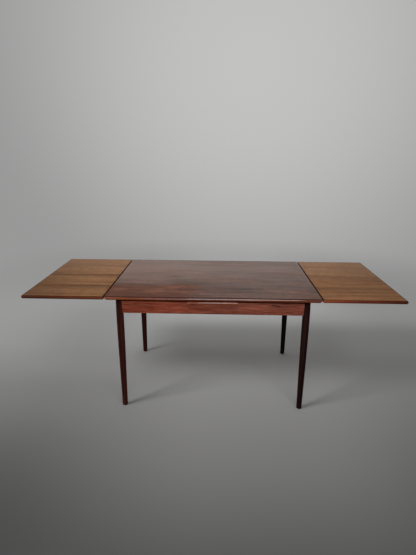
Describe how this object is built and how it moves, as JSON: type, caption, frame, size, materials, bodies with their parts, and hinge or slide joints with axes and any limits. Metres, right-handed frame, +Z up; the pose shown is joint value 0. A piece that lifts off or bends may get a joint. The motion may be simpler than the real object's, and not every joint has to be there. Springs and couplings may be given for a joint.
{
  "type": "draw-leaf dining table",
  "caption": "Dining table on round tapered legs with a loose veneered top and a leaf that draws out level with it at each end.",
  "frame": {"origin": "on the floor, under the middle of the table", "axes": "+X along the table towards the right leaf, +Z up, the front faces -Y"},
  "size_m": [2.168, 0.84, 0.73],
  "materials": {
    "rosewood_veneer": "satin lacquered veneer",
    "leaf_veneer": "satin lacquered veneer",
    "rosewood_edge": "satin lacquered solid wood",
    "rosewood_apron": "satin lacquered figured wood",
    "dark_rosewood": "satin, nearly black",
    "beech": "planed, unfinished",
    "felt": "woollen felt",
    "zinc_steel": "zinc plated",
    "glide_nylon": "matt"
  },
  "bodies": {
    "frame": {"front_apron": "rosewood_apron", "back_apron": "rosewood_apron", "left_end_rail": "rosewood_apron", "right_end_rail": "rosewood_apron", "cross_rail": "beech", "centre_board": "rosewood_veneer", "centre_board_front_nose": "rosewood_edge", "centre_board_back_nose": "rosewood_edge", "left_felt_strip": "felt", "right_felt_strip": "felt", "front_left_leg": "dark_rosewood", "front_left_glide": "glide_nylon", "front_left_corner_block": "beech", "front_left_bolt": "zinc_steel", "front_left_nut": "zinc_steel", "front_right_leg": "dark_rosewood", "front_right_glide": "glide_nylon", "front_right_corner_block": "beech", "front_right_bolt": "zinc_steel", "front_right_nut": "zinc_steel", "back_left_leg": "dark_rosewood", "back_left_glide": "glide_nylon", "back_left_corner_block": "beech", "back_left_bolt": "zinc_steel", "back_left_nut": "zinc_steel", "back_right_leg": "dark_rosewood", "back_right_glide": "glide_nylon", "back_right_corner_block": "beech", "back_right_bolt": "zinc_steel", "back_right_nut": "zinc_steel"},
    "top": {"top_panel": "rosewood_veneer", "left_guide_peg": "beech", "right_guide_peg": "beech", "top_front_lipping": "rosewood_edge", "top_back_lipping": "rosewood_edge", "top_left_lipping": "rosewood_edge", "top_right_lipping": "rosewood_edge"},
    "left_leaf": {"left_leaf_panel": "leaf_veneer", "left_leaf_front_lipping": "rosewood_edge", "left_leaf_back_lipping": "rosewood_edge", "left_leaf_left_lipping": "rosewood_edge", "left_leaf_right_lipping": "rosewood_edge", "left_leaf_front_runner": "beech", "left_leaf_front_stop": "beech", "left_leaf_back_runner": "beech", "left_leaf_back_stop": "beech"},
    "right_leaf": {"right_leaf_panel": "leaf_veneer", "right_leaf_front_lipping": "rosewood_edge", "right_leaf_back_lipping": "rosewood_edge", "right_leaf_left_lipping": "rosewood_edge", "right_leaf_right_lipping": "rosewood_edge", "right_leaf_front_runner": "beech", "right_leaf_front_stop": "beech", "right_leaf_back_runner": "beech", "right_leaf_back_stop": "beech"}
  },
  "joints": [
    {"name": "top_lift", "type": "slide", "parent": "frame", "child": "top", "axis": [0, 0, 1], "range_m": [0, 0.5]},
    {"name": "left_leaf_slide", "type": "slide", "parent": "frame", "child": "left_leaf", "axis": [0.9991, 0, -0.0433], "range_m": [0, 0.47445]},
    {"name": "right_leaf_slide", "type": "slide", "parent": "frame", "child": "right_leaf", "axis": [-0.9991, 0, -0.0433], "range_m": [0, 0.47445]}
  ],
  "couplings": [
    {"joint": "left_leaf_slide", "follows": "top_lift", "ratio": 0.9489},
    {"joint": "right_leaf_slide", "follows": "top_lift", "ratio": 0.9489}
  ]
}
